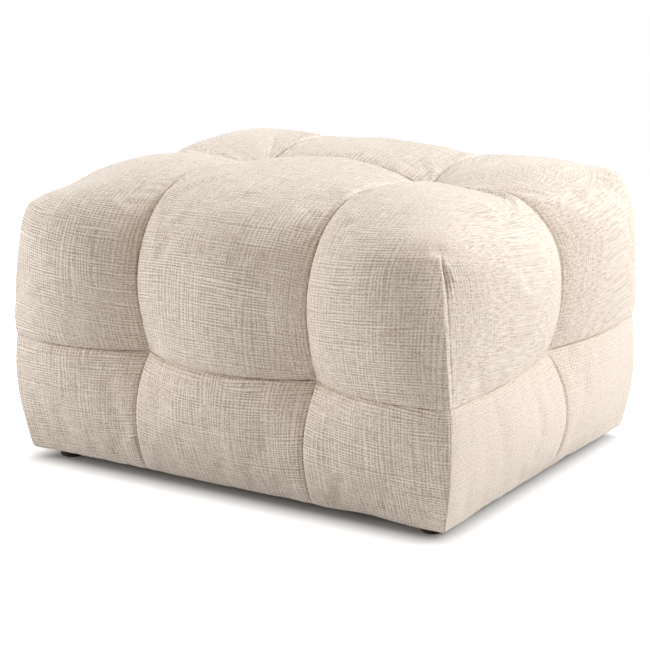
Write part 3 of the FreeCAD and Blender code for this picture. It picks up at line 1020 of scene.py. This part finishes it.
def woven_threads_group():
    """Uneven double threads woven across each other, at the places on the cloth that go in."""
    pitches = {thread.name: ("Float", thread.pitch) for thread in threads_of_weave}
    group, n, given, result = node_group(
        "woven_threads", {"Place": ("Vector", None), **pitches}, ("Tone", "Height"))
    place = given["Place"]
    split = n.fed("SeparateXYZ", place).outputs
    tones, heights, gaps, lines = [], [], [], []
    for thread in threads_of_weave:
        across, seed = split[thread.across], thread.seed

        def along_strand(strand, pace, more=0):
            on_strand = n.fed("CombineXYZ", n.times(split[thread.along], pace),
                              n.times(strand, seed + more)).outputs[0]
            return n.noise(on_strand, seed + more, roughness=strand_roughness)

        drift = n.noise(place, seed, drift_pace)
        shift = n.times(n.minus(drift, 0.5), drift_shift)
        count = n.math("DIVIDE", n.plus(across, shift), given[thread.name])
        crown = n.math("SINE", n.times(n.math("FRACT", count), math.pi))
        strand = n.math("FLOOR", n.times(count, 2.0))
        slub = along_strand(strand, slub_pace)
        thick = n.spread(along_strand(strand, thick_pace, 2), *thick_range)
        tones.append(n.plus(n.minus(slub, 0.5), thick))
        dash = n.spread(along_strand(n.math("FLOOR", count), gap_pace, 1), *gap_range)
        gaps.append(n.times(n.minus(1.0, crown), dash))
        heights.append(n.times(crown, n.plus(slub, least_crown)))
        wander = n.noise(n.vector("MULTIPLY", place, thread.line_paces)[0], seed + 3)
        turns = n.plus(n.math("DIVIDE", across, thread.line_pitch), n.times(wander, line_turns))
        line = n.math("SINE", n.times(turns, 2 * math.pi))
        lines.append(n.times(line, n.times(slub, n.spread(drift, *bold_range))))
    dark = n.plus(n.times(*gaps), n.weighted(gaps, gap_weights))
    light = n.weighted(tones + lines, tone_weights + line_weights)
    n.link(n.plus(n.minus(light, dark), middle_tone), result["Tone"])
    n.link(n.weighted(heights, height_weights), result["Height"])
    return group


# Nap of the cover: fine fuzz, stronger where the threads show, and the tones of its yarn
nap_noise = (9.4, 410.0, 3.0, 0.85)
nap_contrast = (2.6, 4.2)
nap_height = 1.1
nap_roughness = (0.3, 0.7, 0.82, 0.97)
patch_noise = (6.6, 60.0, 2.0, 0.6)
yarn_tones = (
    (0.0, (0.500, 0.412, 0.342)),
    (0.5, (0.800, 0.702, 0.614)),
    (1.0, (0.930, 0.865, 0.795)),
)
cover_sheen = {"Sheen Weight": 0.2, "Sheen Roughness": 0.45, "Specular IOR Level": 0.15}
weave_relief = 0.7
weave_depth = 0.0006


def cover_fabric():
    """Cream chenille in a slub weave: uneven threads both ways, with a soft short nap."""
    material, n, shader = new_material("cover_fabric")
    places = [n.attribute(name)["Vector"] for name in ("place_on_face", "place_on_side")]
    share, clearness = (n.attribute(name)["Fac"] for name in ("side_share", "weave_clearness_and_painted_shade"))
    threads = woven_threads_group()
    on_face, on_side = (n.fed("Group", place, node_tree=threads).outputs for place in places)
    patches = n.minus(n.noise(places[0], *patch_noise), 0.5)
    share = n.plus(share, n.times(patches, n.times(share, n.minus(1.0, share))))
    weave_tone, weave_height = (n.spread(share, 0.0, 1.0, on_face[name], on_side[name])
                                for name in ("Tone", "Height"))
    fuzz = n.noise(places[0], *nap_noise)
    # Painted shade: the contrast of the threads and the fuzz follows the clearness, so it is
    # strongest on the shaded long faces
    contrast = n.spread(clearness, 0.0, 1.0, *nap_contrast)
    tones = n.minus(weave_tone, 0.5), n.minus(fuzz, 0.5)
    tone = n.plus(n.weighted(tones, (clearness, contrast)), 0.5)
    height = n.weighted((weave_height, fuzz), (clearness, nap_height))
    n.feed(shader, {
        "Base Color": n.ramp(tone, yarn_tones),
        "Roughness": n.spread(fuzz, *nap_roughness),
        "Normal": n.bump(height, weave_relief, weave_depth),
        **cover_sheen,
    })
    return material


mottle_sizes = {"Patch Size": ("Float", 20.0), "Grain Size": ("Float", 400.0)}
mottle_detail = 4.0
mottle_weights = (0.6, 0.4)
mottle_range = (0.3, 0.7)
smoothest_share = 0.85
grain_relief = 0.5


def mottle_group():
    """Uneven tone and fine grain, for materials that are made of a cut or moulded mass."""
    group, n, given, result = node_group(
        "mottle", {**mottle_sizes, "Stretch": ("Vector", (1.0, 1.0, 1.0))}, ("Tone", "Height"))
    place = n.vector("MULTIPLY", n.add("TexCoord").outputs["Object"], given["Stretch"])[0]
    noises = []
    for size in mottle_sizes:
        noise = n.add("TexNoise")
        n.feed(noise, {"Vector": place, "Scale": given[size], "Detail": mottle_detail})
        noises.append(noise.outputs["Fac"])
    n.link(n.weighted(noises, mottle_weights), result["Tone"])
    n.link(noises[1], result["Height"])
    return group


Mass = namedtuple("Mass", "dark light patch grain roughness bump stretch metallic",
                  defaults=((1, 1, 1), 0))
masses = {
    "foam": Mass((0.62, 0.53, 0.31), (0.80, 0.72, 0.48), 14.0, 700.0, 0.95, 0.0012),
    "hardboard": Mass((0.13, 0.075, 0.04), (0.25, 0.15, 0.085), 30.0, 900.0, 0.6, 0.0002),
    "plywood": Mass((0.40, 0.27, 0.15), (0.66, 0.49, 0.31), 9.0, 160.0, 0.65, 0.0003, (1, 9, 9)),
    "timber": Mass((0.38, 0.24, 0.12), (0.68, 0.50, 0.30), 11.0, 190.0, 0.7, 0.0004, (1, 1, 0.25)),
    "twine": Mass((0.48, 0.43, 0.33), (0.76, 0.71, 0.60), 60.0, 1500.0, 0.8, 0.0004, (1, 1, 3)),
    "button_plastic": Mass((0.62, 0.60, 0.54), (0.74, 0.72, 0.66), 40.0, 1200.0, 0.4, 0.00005),
    "steel": Mass((0.42, 0.40, 0.33), (0.68, 0.66, 0.58), 50.0, 1500.0, 0.35, 0.00005, metallic=1),
    "foot_plastic": Mass((0.012, 0.007, 0.004), (0.026, 0.016, 0.010), 40.0, 1300.0, 0.85, 0.0001),
    "dust_cover_cloth": Mass((0.008, 0.008, 0.008), (0.03, 0.03, 0.03), 90.0, 1600.0, 0.9, 0.0003),
}


def mass_material(name, mass, mottle):
    material, n, shader = new_material(name)
    group = n.add("Group", node_tree=mottle)
    n.feed(group, {"Patch Size": mass.patch, "Grain Size": mass.grain, "Stretch": mass.stretch})
    tone = group.outputs["Tone"]
    roughness = (mass.roughness, mass.roughness * smoothest_share)
    n.feed(shader, {
        "Base Color": n.ramp(tone, zip(mottle_range, (mass.dark, mass.light))),
        "Roughness": n.spread(tone, *mottle_range, *roughness),
        "Metallic": mass.metallic,
        "Normal": n.bump(group.outputs["Height"], grain_relief, mass.bump),
    })
    return material


def dress_nodes():
    """Every node that stays gets the material of its own slot in the record."""
    mottle = mottle_group()
    materials = {name: mass_material(name, mass, mottle) for name, mass in masses.items()}
    for part in frame["record"]["subparts"]:
        if part["material_slot"] in materials:
            data = nodes[part["node"]].data
            data.materials.clear()
            data.materials.append(materials[part["material_slot"]])


# Camera: the angles and the lens that the seams and outlines of the photograph give
camera_azimuth = math.radians(32.02)
camera_elevation = math.radians(14.97)
camera_distance = 3.1873
camera_side_shift = -0.0103
camera_rise = 0.0030
camera_aim_height = 0.18375
camera_lens = 119.65


def add_camera():
    side, front = math.sin(camera_azimuth), math.cos(camera_azimuth)
    level = math.cos(camera_elevation)
    back = Vector((side * level, -front * level, math.sin(camera_elevation)))
    right = Vector((front, side, 0))
    up = back.cross(right)
    place = back * camera_distance + right * camera_side_shift + up * camera_rise
    place += Vector((0, 0, camera_aim_height))
    data = bpy.data.cameras.new("camera")
    data.lens = camera_lens
    camera = placed("camera", data)
    facing = Matrix((right, up, back)).transposed().to_4x4()
    camera.matrix_world = Matrix.Translation(place) @ facing
    bpy.context.scene.camera = camera


# Round soft lights: azimuth from +X, elevation, power in watts, and colour
light_size = 2.0
light_distance = 4.0
light_aim_height = 0.25
lights = {
    "key": (29, 25, 112, (0.970, 1.0, 1.02)),
    "fill": (-146, 8, 86, (0.970, 1.0, 1.025)),
    "top": (95, 63, 77, (0.94, 1.0, 1.02)),
}


def area_light(name, azimuth, elevation, power, colour):
    data = bpy.data.lights.new(name, "AREA")
    data.shape = "DISK"
    data.size = light_size
    data.energy = power
    data.color = colour
    light = placed(name, data)
    turn, rise = math.radians(azimuth), math.radians(elevation)
    level = math.cos(rise)
    towards = Vector((math.cos(turn) * level, math.sin(turn) * level, math.sin(rise)))
    light.location = towards * light_distance + Vector((0, 0, light_aim_height))
    light.rotation_euler = towards.to_track_quat("Z", "Y").to_euler()


def seen_directly(n):
    """One for rays that show a surface as it is: from the camera, mirrored or through glass."""
    path = n.add("LightPath")
    seen = n.math("MAXIMUM", path.outputs["Is Camera Ray"], path.outputs["Is Glossy Ray"])
    return n.math("MAXIMUM", seen, path.outputs["Is Transmission Ray"])


white = (1, 1, 1, 1)
room_colour = (0.460, 0.420, 0.388, 1)
mix_colours = slice(6, 8)


def add_world():
    world = bpy.data.worlds.new("studio")
    bpy.context.scene.world = world
    world.use_nodes = True
    n = Nodes(world.node_tree)
    mix = n.add("Mix", data_type="RGBA")
    n.link(seen_directly(n), mix.inputs[0])
    lighting, backdrop = mix.inputs[mix_colours]
    lighting.default_value = room_colour
    backdrop.default_value = white
    n.link(mix.outputs[2], world.node_tree.nodes["Background"].inputs["Color"])


# Floor: painted light. Where it is seen directly it glows, which fills in the pouf's soft shadow on
# it;
# the glow rises from nothing at the footprint to full strength at the shadow reach, so only the
# shadow under and close round the pouf stays
floor_radius = 2.2
floor_points = 128
floor_finish = {"Base Color": (0.68, 0.68, 0.68, 1), "Roughness": 0.9, "Specular IOR Level": 0.0}
painted_floor_light = 0.95
footprint = (0.3215, 0.258, 0.0)
shadow_reach = 0.062


def add_floor():
    bpy.ops.mesh.primitive_circle_add(vertices=floor_points, radius=floor_radius,
                                      fill_type="NGON")
    floor = bpy.context.object
    floor.name = "floor"
    material, n, shader = new_material("floor_white")
    place = n.add("TexCoord").outputs["Object"]
    for operation, value in (("ABSOLUTE", None), ("SUBTRACT", footprint), ("MAXIMUM", (0, 0, 0))):
        place = n.vector(operation, place, value)[0]
    distance = n.vector("LENGTH", place)["Value"]
    # Painted light: rays that see the floor directly get a glow that lightens the pouf's shadow
    # beyond the footprint
    glow = n.times(seen_directly(n), n.spread(distance, 0.0, shadow_reach, 0.0, painted_floor_light))
    n.feed(shader, {**floor_finish, "Emission Color": white, "Emission Strength": glow})
    floor.data.materials.append(material)


cover_panels(cover_fabric())
dress_nodes()
add_camera()
add_floor()
add_world()
for light_name, light_values in lights.items():
    area_light(light_name, *light_values)

bpy.context.scene.view_settings.view_transform = "Standard"
